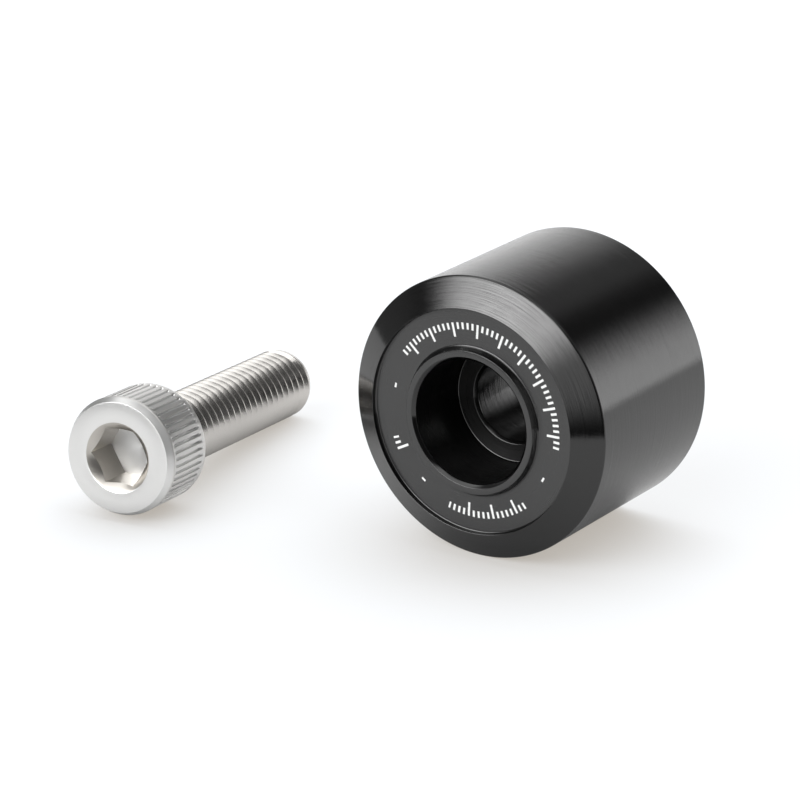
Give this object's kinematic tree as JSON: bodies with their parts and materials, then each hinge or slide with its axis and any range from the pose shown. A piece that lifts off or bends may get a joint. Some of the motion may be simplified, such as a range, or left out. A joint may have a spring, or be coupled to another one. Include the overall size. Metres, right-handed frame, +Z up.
{
  "type": "bar end adapter",
  "caption": "Short turned black handlebar end adapter with a bevelled front, a sunk ring and a counterbored hole, beside its socket head screw.",
  "frame": {"origin": "centre of the adapter body's flat rear face, on the axis of its through hole", "axes": "-Y along the bore towards the mouth, the way the screw leaves; +Z up, with the body lying on its barrel"},
  "size_m": [0.0614, 0.039, 0.0305],
  "materials": {
    "anodised_black": "turned, then black anodised, satin",
    "screw_steel": "stainless, bright, with a knurled head"
  },
  "bodies": {
    "root": {"adapter_body": "anodised_black", "socket_head_screw": "screw_steel"}
  },
  "joints": []
}
